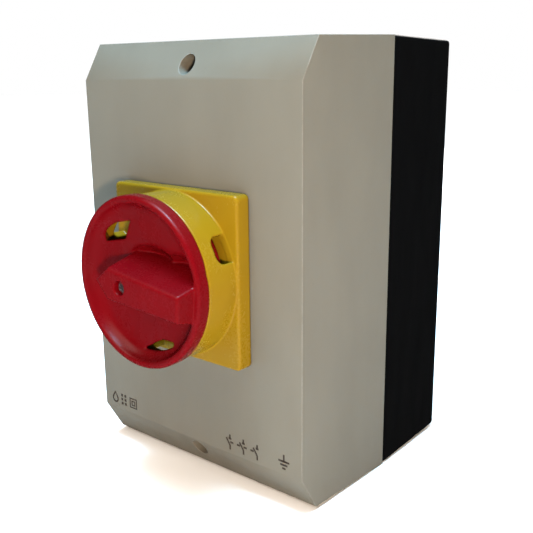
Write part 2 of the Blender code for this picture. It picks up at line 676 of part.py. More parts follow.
def pinion(name, pole, parent):
    x = pole * POLE_PITCH
    gear = outline(name, gear_outline(), GEAR_BACK, GEAR_FRONT)
    gear.location.x = x * MM
    if pole:
        cut(gear, rod("bore", 3.3, GEAR_BACK - 1, GEAR_FRONT + 1, x, 0.0, SMALL_HOLE_STEPS))
    else:
        half = SOCKET_SIDE / 2
        cut(gear, block("square_bore", (-half, -half, GEAR_BACK - 1), (half, half, GEAR_FRONT + 1)))
    keep(gear, parent, "gear_white")


def detent():
    """Four-lobed wheel on the shaft and the leaf spring that holds it at each quarter turn."""
    wheel_r, notch_r = 8.6, 7.7
    points = []
    for step in range(32):
        angle = 2 * math.pi * step / 32
        radius = notch_r + (wheel_r - notch_r) * abs(math.sin(2 * angle))
        points.append((radius * math.cos(angle), radius * math.sin(angle)))
    wheel = outline("detent_wheel", points, GEAR_FRONT + 0.5, CAVITY_TOP - 2)
    join(wheel, rod("hub", 6.8, CAVITY_TOP - 3, DECK_FRONT + 2))
    half = SOCKET_SIDE / 2
    cut(wheel, block("square_bore", (-half, -half, 50.0), (half, half, DECK_FRONT + 3)))
    keep(wheel, SPINDLE, "gear_white")
    rise = 1.6
    upper = []
    lower = []
    for step in range(-6, 7):
        x = step * 3.0
        y = -(wheel_r + 0.4) - rise * (step / 6) ** 2
        upper.append((x, y))
        lower.append((x, y - 0.5))
    spring = outline("detent_spring", upper + lower[::-1], GEAR_FRONT + 1.0, CAVITY_TOP - 2.5)
    keep(spring, FRAME, "spring_steel")


def square_shaft():
    half = SHAFT_SIDE / 2
    shaft = block("square_shaft", (-half, -half, SHAFT_BACK), (half, half, SHAFT_TOP))
    keep(bevel(shaft, 0.5, 1), SPINDLE, "zinc_steel")


# ---------------------------------------------------------------- assembly

clear_scene()
PARTS = new_collection("rotary_isolator_switch")
CUTTERS = new_collection("cutters")
FRAME = empty("wall_frame")
FRAME.rotation_euler = (math.pi / 2, 0.0, 0.0)
COVER = empty("cover_lift", FRAME)
HANDLE = empty("handle_axis", COVER)
SPINDLE = empty("spindle_axis", FRAME)
RACK = empty("rack_slide", FRAME)

base_box()
cover_gasket()
cover_shell()
cover_screws()
padlock_plate()
plate_fittings()
handle_knob()
handle_fittings()
din_rail()
din_clip()
switch_rear_housing()
switch_front_housing()
contacts()
wire_terminal("earth", -WIRE_TERMINAL_X, "terminal_brass")
wire_terminal("neutral", WIRE_TERMINAL_X, "terminal_brass")
square_shaft()
detent()
rack_bar()
for index, pole_side in enumerate(POLES, 1):
    body = SPINDLE if pole_side == 0 else FRAME
    pole_rotor(index, pole_side, body)
    moving_blade(index, pole_side, body)
    pinion("drive_pinion" if pole_side == 0 else "rotor_pinion_" + str(index), pole_side, body)
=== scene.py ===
"""Looks for the enclosed rotary isolator switch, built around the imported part.

New pieces are drawn in the frame of the wall, in millimetres: x to the right,
y up the wall and z out of the wall. WALL turns them into the shared frame.
Their places come from the boxes of the CAD nodes that they stand for.
"""

import json
import math

import bmesh
import bpy
import numpy as np
from mathutils import Matrix, Vector


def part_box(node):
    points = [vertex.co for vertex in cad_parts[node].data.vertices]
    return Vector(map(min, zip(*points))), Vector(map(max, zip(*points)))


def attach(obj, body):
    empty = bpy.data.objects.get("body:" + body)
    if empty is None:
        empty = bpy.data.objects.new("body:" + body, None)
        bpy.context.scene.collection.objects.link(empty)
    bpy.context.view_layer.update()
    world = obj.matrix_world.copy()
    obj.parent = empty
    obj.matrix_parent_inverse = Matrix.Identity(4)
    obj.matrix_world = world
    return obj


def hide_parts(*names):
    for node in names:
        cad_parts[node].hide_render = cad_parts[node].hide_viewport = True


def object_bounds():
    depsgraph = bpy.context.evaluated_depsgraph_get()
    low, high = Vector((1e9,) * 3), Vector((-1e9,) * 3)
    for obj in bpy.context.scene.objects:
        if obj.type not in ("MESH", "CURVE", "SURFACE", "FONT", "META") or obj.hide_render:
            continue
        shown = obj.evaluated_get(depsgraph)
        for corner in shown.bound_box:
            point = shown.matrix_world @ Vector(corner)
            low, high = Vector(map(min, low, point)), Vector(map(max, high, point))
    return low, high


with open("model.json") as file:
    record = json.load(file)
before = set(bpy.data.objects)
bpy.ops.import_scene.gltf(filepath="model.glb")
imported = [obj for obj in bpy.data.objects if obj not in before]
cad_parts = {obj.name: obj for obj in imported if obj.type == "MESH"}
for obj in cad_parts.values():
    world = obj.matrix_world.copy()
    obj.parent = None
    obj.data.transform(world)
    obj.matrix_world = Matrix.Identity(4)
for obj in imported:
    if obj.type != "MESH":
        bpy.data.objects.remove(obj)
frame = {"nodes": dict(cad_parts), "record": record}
cad_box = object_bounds()

MM = 0.001
WALL = Matrix(((MM, 0, 0, 0), (0, 0, -MM, 0), (0, MM, 0, 0), (0, 0, 0, 1)))


class WallBox:
    """A CAD node's box, in the frame of the wall."""

    def __init__(self, node):
        low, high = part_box(node)
        self.left, self.right = low.x / MM, high.x / MM
        self.bottom, self.top = low.z / MM, high.z / MM
        self.back, self.front = -high.y / MM, -low.y / MM


BASE = WallBox("base_box")
COVER = WallBox("cover_shell")
PLATE = WallBox("padlock_plate")
KNOB = WallBox("handle_knob")
SCREW = WallBox("handle_screw")

# Cover: half width and half height at the shoulder and at the front face
SHOULDER_Z = COVER.front - 8.6
SHOULDER_HALF = (56.1, 85.7)
FRONT_HALF = (55.9, 71.3)
COVER_WALL = 2.6
HOLLOW_SHOULDER_DROP = 1.2        # the hollow's shoulder lies this far behind the outer one
HOLLOW_FRONT_HALF_H = 69.7
HOLLOW_EDGE = 0.6
COVER_EDGE = 0.8
FINE_EDGE = 0.18                  # rounding of the cover's other edges
COVER_SCREW_Y = 77.0
TUBE_R = 6.0
RECESS_R = 3.75
RECESS_FLOOR = 54.0
COVER_SCREW_HOLE_R = 2.4
DRIVER_HOLE_R = 7.4
PLATE_SCREW_XY = 26.0
PLATE_SCREW_HOLE_R = 1.9
FRONT_HOLE_DEPTH = 5.0
PAST = 1.0                        # how far a cutter runs past a face

# Base: knock-out rings for cable glands in its top and bottom walls
BASE_TAPER = 1.0                  # how much lower each of those walls is at the back
BASE_EDGE = 0.15
KNOCKOUT_X = 26.0
KNOCKOUT_Z = 24.0
KNOCKOUT_RADII = (12.6, 10.1)
KNOCKOUT_GROOVE = 0.7
KNOCKOUT_DEPTH = 0.5

# Padlock plate and collar
PLATE_FACE = 107.8
PLATE_CORNER = 2.0
PLATE_EDGE = 1.1
COLLAR_R = 31.75
COLLAR_INNER_R = 28.9
COLLAR_WINDOW_ANGLES = (26.0, 146.0, 266.0)
COLLAR_WINDOW_HALF = 5.25
COLLAR_WINDOW_TOP = 115.5
COLLAR_WINDOW_ROUND = 3.6
COLLAR_WINDOW_CUT = 6.0           # how far inside the collar the windows' cutters start
DRIVER_BORE_R = 7.0
SEAL_RECESS = (9.4, 2.6)          # radius and depth
GASKET_GROOVE = (13.5, 2.0, 1.1)  # middle radius, half width and depth
CORNER_DIMPLE = (1.8, 1.6)        # radius and depth
NOTCH = (11.1, 1.0, 0.7, 0.9)     # middle x, half width, height and depth

# Red handle
RIM_TOP = KNOB.front - 7.8
RIM_BACK = RIM_TOP - 5.6
DISH_Z = RIM_TOP - 5.1
DISH_R = 28.6                     # at its floor
DISH_FLARE = 0.22                 # widening of its wall per millimetre of height
DISH_CROWN = 0.3
DISH_FILLET = 5.5
DISC_BACK = 120.2
SKIRT_R = 28.4
SKIRT_WALL = 2.0
SKIRT_BACK = 110.6
HUB_R = 9.0
HUB_BORE_R = 6.9
HUB_BORE_TOP = 117.3
GRIP_OUTLINE = ((-13.0, 0.0), (-6.5, -6.0), (36.0, -4.6), (36.0, 4.6), (-6.5, 6.0))
GRIP_END = 30.0
GRIP_TURN = math.radians(-5.5)    # OFF stops just past level
GRIP_DRAFT = math.tan(math.radians(13.0))
GRIP_BACK = 115.6
WINDOW_UPPER = ((-7.4, 21.5), (-15.3, 20.0), (-22.2, 16.4), (-21.4, 12.5), (-10.4, 14.7))
WINDOW_LOWER = ((-2.2, -26.4), (7.6, -21.2), (13.8, -21.0), (16.0, -34.0), (-4.0, -34.0))
WINDOW_REACH = 26.3               # windows stop at this radius on the dish, and further out behind it
WINDOW_UNDERCUT = 2.4
WINDOW_FLARE = 0.8                # widening of the windows per millimetre behind the dish
SCOOPS = (((3.0, 7.6), (9.6, 4.6, 5.6)), ((18.5, 6.6), (8.0, 4.4, 6.0)))   # middle, then radii
SCOOP_WALL = 3.4
SCOOP_FILLET = 4.0
PIN_HOLE = (-4.6, 9.4, 0.95)      # x, y and radius
SCREW_RECESS_R = 2.65
SCREW_RECESS_DEPTH = 3.9
SCREW_HOLE_R = 1.8

# Handle screw, with a cross recess
HEAD_CROWN = 4.2
HEAD_HEIGHT = 2.4
SHANK_R = 1.5
SHANK_TOP = 1.5                   # below the top of the head
CROSS_DEPTH = 1.5
CROSS_TURN = math.radians(28.0)

# Printed marks, low on the cover's front
MARK_LINE = 0.78
MARK_DASH = 1.2
DROP = (-49.2, -67.3, 1.65)       # x, y and radius
DROP_TIP = 3.0
DUST_X = (-44.6, -42.4)
DUST_Y = (-68.6, -66.7, -64.8)
SQUARES_AT = (-37.2, -66.8)
SQUARE_HALVES = (2.1, 0.9)
POLE_X = (20.4, 27.4, 34.4)
LINK_X = (20.5, 24.0, 27.5, 31.0)
EARTH_X = 47.4
EARTH_BARS = ((-66.2, 2.6), (-67.6, 1.7), (-69.0, 0.8))    # y and half width

# Meshes: sharp edges in degrees, steps of the distance fields and points that are welded
SHARP = 32.0
SHADED_SHARP = 50.0
FIELD_STEP = 0.5
SCREW_STEP = 0.14
WELD = 0.001

# Fine bevels on the CAD nodes: a share of the node's smallest side, up to a limit
BEVEL_SHARE = 0.06
BEVEL_LIMIT = 0.22

# Camera: place in metres, angles in degrees and lens in millimetres
CAMERA_AT = (0.2088, -0.3024, 0.0740)
CAMERA_AZIMUTH = 39.97
CAMERA_TILT = 14.23
CAMERA_ROLL = -0.59
LENS = 51.83

# Floor and studio lights, with the places that they shine from, in metres
FLOOR_RADIUS = 6.0
FLOOR_GAP = 0.0002
LIGHT_TARGET = (0.0, -0.08, 0.0)
SUNS = {
    "sky": {"from": (-0.25, -1.0, 1.45), "angle": 50, "strength": 2.55, "colour": (1.0, 0.92, 0.84)},
    "ceiling": {"from": (0.1, 0.1, 1.0), "angle": 60, "strength": 2.2, "colour": (0.80, 0.90, 1.0)},
}
LAMPS = {
    "window": {"from": (0.05, -0.18, 1.00), "size": 0.4, "watts": 33.0, "colour": (0.36, 0.72, 1.0),
               "glossy": True},
    "back": {"from": (-0.45, 1.10, 0.45), "size": 0.7, "watts": 14.0, "colour": (1.0, 0.97, 0.93),
             "glossy": True},
    "lamp": {"from": (0.35, -0.41, 0.02), "size": 0.03, "watts": 3.8, "colour": (1.0, 0.79, 0.60),
             "glossy": False},
}
AMBIENT = 0.10
WHITE = (1.0, 1.0, 1.0, 1.0)

MATERIALS = {}


# ---------------------------------------------------------------- materials

class Surface:
    """A material and a short way to write its nodes. Sizes are in millimetres."""

    def __init__(self, name, **uniform):
        self.material = bpy.data.materials.new(name)
        self.material.use_nodes = True
        self.tree = self.material.node_tree
        self.shader = self.tree.nodes["Principled BSDF"]
        self.place = self.node("ShaderNodeTexCoord").outputs["Object"]
        for socket, value in uniform.items():
            self.shader.inputs[socket.replace("_", " ")].default_value = value
        MATERIALS[name] = self.material

    def node(self, kind, inputs=(), **settings):
        made = self.tree.nodes.new(kind)
        for key, value in settings.items():
            setattr(made, key, value)
        for key, value in dict(inputs).items():
            self.feed(made.inputs[key], value)
        return made

    def feed(self, socket, value):
        if isinstance(value, bpy.types.NodeSocket):
            self.tree.links.new(value, socket)
        else:
            socket.default_value = value

    def noise(self, size, detail=2.0, stretch=(1.0, 1.0, 1.0)):
        """Smooth random value, 0 to 1, with features about that size."""
        scaled = self.node("ShaderNodeMapping", {"Vector": self.place, "Scale": stretch})
        inputs = {"Vector": scaled.outputs[0], "Scale": 1 / (size * MM), "Detail": detail}
        return self.node("ShaderNodeTexNoise", inputs).outputs["Fac"]

    def remap(self, value, low, high, to_low=0.0, to_high=1.0):
        inputs = {"Value": value, "From Min": low, "From Max": high, "To Min": to_low, "To Max": to_high}
        return self.node("ShaderNodeMapRange", inputs).outputs[0]

    def maths(self, operation, first, second):
        return self.node("ShaderNodeMath", {0: first, 1: second}, operation=operation).outputs[0]

    def blend(self, share, first, second):
        made = self.node("ShaderNodeMix", data_type="RGBA")
        self.feed(made.inputs[0], share)
        self.feed(made.inputs[6], first)
        self.feed(made.inputs[7], second)
        return made.outputs[2]

    def edges(self, radius):
        """1 on outer and inner edges, 0 on open surfaces."""
        rounded = self.node("ShaderNodeBevel", {"Radius": radius * MM}, samples=4)
        true = self.node("ShaderNodeNewGeometry")
        dot = self.node("ShaderNodeVectorMath", {0: rounded.outputs[0], 1: true.outputs["Normal"]},
                        operation="DOT_PRODUCT")
        return self.remap(dot.outputs["Value"], 0.995, 0.9)

    def bump(self, height, depth, strength=1.0, under=None):
        inputs = {"Height": height, "Distance": depth * MM, "Strength": strength}
        if under is not None:
            inputs["Normal"] = under
        return self.node("ShaderNodeBump", inputs).outputs[0]

    def finish(self, colour, roughness, normal):
        self.feed(self.shader.inputs["Base Color"], colour)
        self.feed(self.shader.inputs["Roughness"], roughness)
        self.feed(self.shader.inputs["Normal"], normal)


def tint(colour, factor):
    return (*[min(1.0, channel * factor) for channel in colour], 1.0)


def moulded(name, colour, roughness, specular, grain=0.35, depth=0.006, specks=0.2, edge_wear_and_highlight=0.12,
            worn_and_lit_colour=(0.85, 0.83, 0.80)):
    """Moulded plastic: faint flow mottling, fine spark grain, dust specks, and paler edges that are partly
    rubbed wear and partly a painted highlight.
    """
    s = Surface(name, Specular_IOR_Level=specular)
    mottle = 0.05
    flow = s.noise(22.0, 3.0, (1.0, 1.0, 0.45))
    body = s.blend(s.remap(flow, 0.3, 0.7), tint(colour, 1 - mottle), tint(colour, 1 + mottle))
    dust = s.remap(s.noise(0.9, 1.0), 0.72, 0.80, 0.0, specks)
    body = s.blend(dust, body, tint(colour, 0.6))
    # Paler edges: partly rubbed wear, partly a painted highlight where the rounded edges catch the light
    worn_and_lit_edges = s.maths("MULTIPLY", s.edges(0.5), s.remap(s.noise(4.0), 0.35, 0.65, 0.3, 1.0))
    body = s.blend(s.maths("MULTIPLY", worn_and_lit_edges, edge_wear_and_highlight), body, (*worn_and_lit_colour, 1.0))
    texture = s.noise(grain, 2.0)
    scuff = s.noise(9.0, 4.0, (1.0, 1.0, 0.3))
    rough = s.maths("ADD", s.remap(scuff, 0.3, 0.75, -0.05, 0.07), s.remap(texture, 0.3, 0.7,
                    roughness - 0.03, roughness + 0.03))
    wave = s.bump(s.noise(14.0, 1.0), 0.05, 0.5)
    s.finish(body, rough, s.bump(texture, depth, 1.0, wave))


def metal(name, colour, roughness, stretch=(1.0, 1.0, 14.0), tarnish=0.22):
    """Plated or rolled metal: fine drawn lines, cloudy tarnish and brighter edges, which are a painted
    highlight.
    """
    s = Surface(name, Metallic=1.0)
    cloud = s.remap(s.noise(3.5, 4.0), 0.38, 0.68)
    body = s.blend(cloud, tint(colour, 1.0), tint(colour, 1 - tarnish))
    # Brighter edges: a painted highlight along the rounded edges
    body = s.blend(s.maths("MULTIPLY", s.edges(0.25), 0.4), body, tint(colour, 1.35))
    lines = s.noise(0.25, 3.0, stretch)
    rough = s.maths("ADD", s.remap(lines, 0.3, 0.7, roughness - 0.06, roughness + 0.08),
                    s.remap(cloud, 0.0, 1.0, 0.0, 0.08))
    s.finish(body, rough, s.bump(lines, 0.006, 0.8))


def rubber(name, colour):
    """Black rubber: matt, with a bloom of pale dust."""
    s = Surface(name, Specular_IOR_Level=0.3)
    bloom = s.remap(s.noise(2.5, 4.0), 0.45, 0.75, 0.0, 0.25)
    body = s.blend(bloom, tint(colour, 1.0), (0.10, 0.10, 0.10, 1.0))
    texture = s.noise(0.2, 2.0)
    s.finish(body, s.remap(texture, 0.3, 0.7, 0.7, 0.9), s.bump(texture, 0.01))


def ink(name, colour):
    """Pad-printed ink: slightly uneven cover."""
    s = Surface(name, Specular_IOR_Level=0.3)
    patch = s.remap(s.noise(0.5, 3.0), 0.4, 0.75)
    body = s.blend(patch, tint(colour, 1.0), tint(colour, 2.2))
    s.finish(body, s.remap(patch, 0.0, 1.0, 0.45, 0.6), s.bump(patch, 0.004))


def paper(name, colour):
    """Seamless studio paper."""
    s = Surface(name, Specular_IOR_Level=0.1)
    cloud = s.noise(300.0, 2.0)
    body = s.blend(cloud, tint(colour, 0.99), tint(colour, 1.0))
    fibre = s.noise(0.6, 3.0)
    s.finish(body, s.remap(fibre, 0.3, 0.7, 0.85, 0.95), s.bump(fibre, 0.01, 0.3))


# The edge strength and edge colour in each call set the paler edges: partly rubbed wear, partly a painted
# highlight
moulded("cover_grey", (0.116, 0.105, 0.083), 0.42, 0.22)
moulded("base_black", (0.0018, 0.0018, 0.0020), 0.5, 0.05, edge_wear_and_highlight=0.010)
moulded("lock_yellow", (0.174, 0.099, 0.0034), 0.24, 0.2, grain=0.8, depth=0.0012, specks=0.03, edge_wear_and_highlight=0.4,
        worn_and_lit_colour=(0.27, 0.17, 0.02))
moulded("handle_red", (0.094, 0.0007, 0.0020), 0.27, 0.12, grain=0.8, depth=0.0012, specks=0.03, edge_wear_and_highlight=0.4,
        worn_and_lit_colour=(0.18, 0.006, 0.010))
moulded("switch_grey", (0.055, 0.058, 0.062), 0.5, 0.3)
moulded("rotor_ivory", (0.45, 0.41, 0.31), 0.5, 0.3)
moulded("gear_white", (0.52, 0.51, 0.47), 0.45, 0.35)
moulded("driver_black", (0.012, 0.012, 0.013), 0.5, 0.25, edge_wear_and_highlight=0.03)
metal("zinc_steel", (0.56, 0.57, 0.59), 0.32)
metal("spring_steel", (0.42, 0.43, 0.46), 0.25, (1.0, 1.0, 8.0))
metal("contact_copper", (0.68, 0.33, 0.18), 0.3, (1.0, 10.0, 1.0), 0.35)
metal("terminal_brass", (0.66, 0.48, 0.19), 0.3, (8.0, 1.0, 1.0), 0.28)
rubber("seal_rubber", (0.018, 0.018, 0.018))
ink("mark_ink", (0.020, 0.014, 0.010))
paper("studio_paper", (0.86, 0.86, 0.86))


# ---------------------------------------------------------------- mesh tools

def linked(name, mesh):
    item = bpy.data.objects.new(name, mesh)
    bpy.context.scene.collection.objects.link(item)
    return item


def frozen(item):
    """Mesh of an object with its modifiers applied. The object goes."""
    bpy.context.view_layer.update()
    shape = item.evaluated_get(bpy.context.evaluated_depsgraph_get())
    mesh = bpy.data.meshes.new_from_object(shape)
    bpy.data.objects.remove(item)
    return mesh


def cut(mesh, tools):
    """Cut tool meshes out of a mesh."""
    item = linked("body", mesh)
    helpers = [linked("tool", tool) for tool in tools]
    for helper in helpers:
        modifier = item.modifiers.new("cut", "BOOLEAN")
        modifier.operation = "DIFFERENCE"
        modifier.solver = "EXACT"
        modifier.object = helper
    result = frozen(item)
    for helper in helpers:
        bpy.data.objects.remove(helper)
    return result


def soften(mesh, width):
    """Round every edge that is still sharp."""
    item = linked("body", mesh)
    modifier = item.modifiers.new("soften", "BEVEL")
    modifier.width = width
    modifier.segments = 2
    modifier.limit_method = "ANGLE"
    modifier.angle_limit = math.radians(SHARP)
    modifier.use_clamp_overlap = False
    return frozen(item)


def mesh_from(bm):
    bmesh.ops.recalc_face_normals(bm, faces=bm.faces)
    mesh = bpy.data.meshes.new("drawn")
    bm.to_mesh(mesh)
    bm.free()
    return mesh


def stacked(sections, edge, segments=4):
    """Box whose half width and half height change with z, with rounded edges."""
    bm = bmesh.new()
    corners = ((1, 1), (-1, 1), (-1, -1), (1, -1))
    rows = [[bm.verts.new((sx * w, sy * h, z)) for sx, sy in corners] for z, w, h in sections]
    for lower, upper in zip(rows, rows[1:]):
        for i in range(4):
            j = (i + 1) % 4
            bm.faces.new((lower[i], lower[j], upper[j], upper[i]))
    bm.faces.new(rows[0][::-1])
    bm.faces.new(rows[-1])
    sharp = [e for e in bm.edges if e.calc_face_angle() > math.radians(5)]
    bmesh.ops.bevel(bm, geom=sharp, offset=edge, segments=segments, profile=0.5, affect="EDGES")
    return mesh_from(bm)


def rod(radius, low, high, x=0.0, y=0.0):
    bm = bmesh.new()
    bmesh.ops.create_cone(bm, cap_ends=True, segments=48, radius1=radius, radius2=radius, depth=high - low)
    bmesh.ops.translate(bm, vec=(x, y, (low + high) / 2), verts=bm.verts)
    return mesh_from(bm)


def groove_ring(radius, half_width, low, high):
    """Flat ring about z, drawn around the origin."""
    bm = bmesh.new()
    segments = 64
    rows = []
    for r, z in ((radius - half_width, low), (radius + half_width, low),
                 (radius + half_width, high), (radius - half_width, high)):
        angles = [2 * math.pi * step / segments for step in range(segments)]
        rows.append([bm.verts.new((r * math.cos(a), r * math.sin(a), z)) for a in angles])
    for inner, outer in zip(rows, rows[1:] + rows[:1]):
        for i in range(segments):
            j = (i + 1) % segments
            bm.faces.new((inner[i], inner[j], outer[j], outer[i]))
    return mesh_from(bm)


def ribbon(points, width, low, high, closed=False):
    """Flat line of even width along points, drawn out from low to high."""
    path = np.array(points, float)
    before = np.roll(path, 1, 0) if closed else np.vstack((path[:1], path[:-1]))
    after = np.roll(path, -1, 0) if closed else np.vstack((path[1:], path[-1:]))
    along = after - before
    along /= np.linalg.norm(along, axis=1, keepdims=True)
    side = np.stack((-along[:, 1], along[:, 0]), 1) * width / 2
    bm = bmesh.new()
    rings = []
    for point, offset in zip(path, side):
        left, right = point + offset, point - offset
        corners = ((*left, low), (*right, low), (*right, high), (*left, high))
        rings.append([bm.verts.new(corner) for corner in corners])
    pairs = list(zip(rings, rings[1:])) + ([(rings[-1], rings[0])] if closed else [])
    for first, second in pairs:
        for i in range(4):
            j = (i + 1) % 4
            bm.faces.new((first[i], first[j], second[j], second[i]))
    if not closed:
        bm.faces.new(rings[0])
        bm.faces.new(rings[-1][::-1])
    return mesh_from(bm)


def merged(meshes):
    bm = bmesh.new()
    for mesh in meshes:
        bm.from_mesh(mesh)
        bpy.data.meshes.remove(mesh)
    return mesh_from(bm)


def cad_copy(node):
    """A CAD node's shape in the frame of the wall, with its split edges closed."""
    mesh = frame["nodes"][node].data.copy()
    mesh.transform(WALL.inverted())
    bm = bmesh.new()
    bm.from_mesh(mesh)
    bmesh.ops.remove_doubles(bm, verts=bm.verts, dist=WELD)
    bmesh.ops.dissolve_limit(bm, angle_limit=math.radians(0.5), verts=bm.verts, edges=bm.edges)
    bpy.data.meshes.remove(mesh)
    return mesh_from(bm)


# ---------------------------------------------------------------- distance fields

def either(a, b, fillet):
    """Join two fields, with a fillet where they meet."""
    h = np.maximum(fillet - np.abs(a - b), 0.0) / fillet
    return np.minimum(a, b) - h * h * fillet / 4


def both(a, b, fillet):
    """Keep what lies in both fields, with a rounded edge."""
    return -either(-a, -b, fillet)


def less(a, b, fillet):
    """Cut field b out of field a, with a rounded edge."""
    return both(a, -b, fillet)


def polygon(x, y, points):
    """Distance to a flat outline, negative inside."""
    nearest = np.full(np.broadcast(x, y).shape, np.inf)
    inside = np.zeros(nearest.shape, bool)
    for (ax, ay), (bx, by) in zip(points, points[1:] + points[:1]):
        ex, ey = bx - ax, by - ay
        px, py = x - ax, y - ay
        t = np.clip((px * ex + py * ey) / (ex * ex + ey * ey), 0.0, 1.0)
        nearest = np.minimum(nearest, np.hypot(px - t * ex, py - t * ey))
        if ey:
            crossed = ((ay > y) != (by > y)) & (x < ax + ex * (y - ay) / ey)
            inside ^= crossed
    return np.where(inside, -nearest, nearest)


def rounded_box(x, y, half_w, half_h, corner):
    dx, dy = np.abs(x) - half_w + corner, np.abs(y) - half_h + corner
    outside = np.hypot(np.maximum(dx, 0.0), np.maximum(dy, 0.0))
    return outside + np.minimum(np.maximum(dx, dy), 0.0) - corner


def surface(field, low, high, step):
    """Closed mesh of a field's zero level: one vertex in each crossed cell, moved onto the level."""
    axes = [np.arange(a, b + step, step) for a, b in zip(low, high)]
    value = field(*np.meshgrid(*axes, indexing="ij", sparse=True))
    solid = value < 0
    last = [n - 1 for n in solid.shape]
    unit = np.eye(3, dtype=int)
    filled = sum(solid[i:last[0] + i, j:last[1] + j, k:last[2] + k].astype(int)
                 for i in (0, 1) for j in (0, 1) for k in (0, 1))
    crossed = (filled > 0) & (filled < 8)
    cells = np.argwhere(crossed)
    number = np.full(crossed.shape, -1)
    number[crossed] = np.arange(len(cells))
    total, count = np.zeros((len(cells), 3)), np.zeros((len(cells), 1))
    for axis in range(3):
        for i in (0, 1):
            for j in (0, 1):
                start = cells + i * unit[axis - 1] + j * unit[axis - 2]
                first, second = value[tuple(start.T)], value[tuple((start + unit[axis]).T)]
                cut = (first < 0) != (second < 0)
                share = np.where(cut, first / np.where(cut, first - second, 1.0), 0.0)
                total += np.where(cut[:, None], start + share[:, None] * unit[axis], 0.0)
                count += cut[:, None]
    points = np.array(low) + step * total / count
    nudge = 0.02
    for _ in range(3):
        here = field(*points.T)
        slope = np.stack([(field(*(points + nudge * unit[a]).T) - here) / nudge for a in range(3)], 1)
        move = -here[:, None] * slope / np.maximum((slope ** 2).sum(1, keepdims=True), 0.2)
        points += np.clip(move, -step / 3, step / 3)
    faces = []
    for axis in range(3):
        ends = [slice(None)] * 3
        ends[axis] = slice(0, -1)
        starts = solid[tuple(ends)]
        ends[axis] = slice(1, None)
        edges = np.argwhere(starts != solid[tuple(ends)])
        b, c = unit[(axis + 1) % 3], unit[(axis + 2) % 3]
        quad = np.stack([number[tuple(e.T)] for e in (edges, edges - b, edges - b - c, edges - c)], 1)
        outward = starts[tuple(edges.T)]
        faces += [quad[outward], quad[~outward][:, ::-1]]
    mesh = bpy.data.meshes.new("field")
    mesh.from_pydata(points.tolist(), [], np.vstack(faces).tolist())
    return mesh


# ---------------------------------------------------------------- pieces

def piece(name, mesh, body, surface_name, *replaced, weighted=True):
    """Finish a new piece: place, shading, material, body and the CAD nodes it stands for."""
    mesh.transform(WALL)
    for face in mesh.polygons:
        face.use_smooth = True
    if weighted:
        mesh.set_sharp_from_angle(angle=math.radians(SHADED_SHARP))
    item = linked(name, mesh)
    mesh.materials.clear()
    mesh.materials.append(MATERIALS[surface_name])
    if weighted:
        normals = item.modifiers.new("normals", "WEIGHTED_NORMAL")
        normals.keep_sharp = True
    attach(item, body)
    if replaced:
        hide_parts(*replaced)
    return item


def cover_moulding():
    """The grey cover: a hollow box with sloping faces, a tube for each cover screw, and its holes."""
    shell = stacked([(COVER.back, COVER.right, COVER.top), (SHOULDER_Z, *SHOULDER_HALF),
                     (COVER.front, *FRONT_HALF)], COVER_EDGE)
    shoulder_w, shoulder_h = [half - COVER_WALL for half in SHOULDER_HALF]
    inside = [(COVER.back - PAST, COVER.right - COVER_WALL, COVER.top - COVER_WALL),
              (SHOULDER_Z - HOLLOW_SHOULDER_DROP, shoulder_w, shoulder_h),
              (COVER.front - COVER_WALL, FRONT_HALF[0] - COVER_WALL, HOLLOW_FRONT_HALF_H)]
    tubes = [rod(TUBE_R, COVER.back, COVER.front, 0.0, y) for y in (-COVER_SCREW_Y, COVER_SCREW_Y)]
    shell = cut(shell, [cut(stacked(inside, HOLLOW_EDGE, 2), tubes)])
    low, high = COVER.front - FRONT_HOLE_DEPTH, COVER.front + PAST
    holes = [rod(DRIVER_HOLE_R, low, high)]
    for sign in (-1, 1):
        y = sign * COVER_SCREW_Y
        holes.append(rod(RECESS_R, RECESS_FLOOR, high, 0.0, y))
        holes.append(rod(COVER_SCREW_HOLE_R, COVER.back - PAST, RECESS_FLOOR + PAST, 0.0, y))
        holes += [rod(PLATE_SCREW_HOLE_R, low, high, side * PLATE_SCREW_XY, sign * PLATE_SCREW_XY)
                  for side in (-1, 1)]
    shell = cut(shell, holes)
    item = piece("cover_moulding", soften(shell, FINE_EDGE), "cover", "cover_grey", "cover_shell")


def base_moulding():
    """The black base: the CAD shape with knock-out rings and fine edges."""
    shell = cad_copy("base_box")
    rings = []
    slope = math.atan2(BASE_TAPER, BASE.front)
    for sign in (-1, 1):
        for x in (-KNOCKOUT_X, KNOCKOUT_X):
            for radius in KNOCKOUT_RADII:
                ring = groove_ring(radius, KNOCKOUT_GROOVE / 2, -KNOCKOUT_DEPTH, PAST)
                ring.transform(Matrix.Rotation(-sign * (math.pi / 2 - slope), 4, "X"))
                height = BASE.top - BASE_TAPER + KNOCKOUT_Z * math.tan(slope)
                ring.transform(Matrix.Translation((x, sign * height, KNOCKOUT_Z)))
                rings.append(ring)
    shell = cut(shell, rings)
    item = piece("base_moulding", soften(shell, BASE_EDGE), "base", "base_black", "base_box")


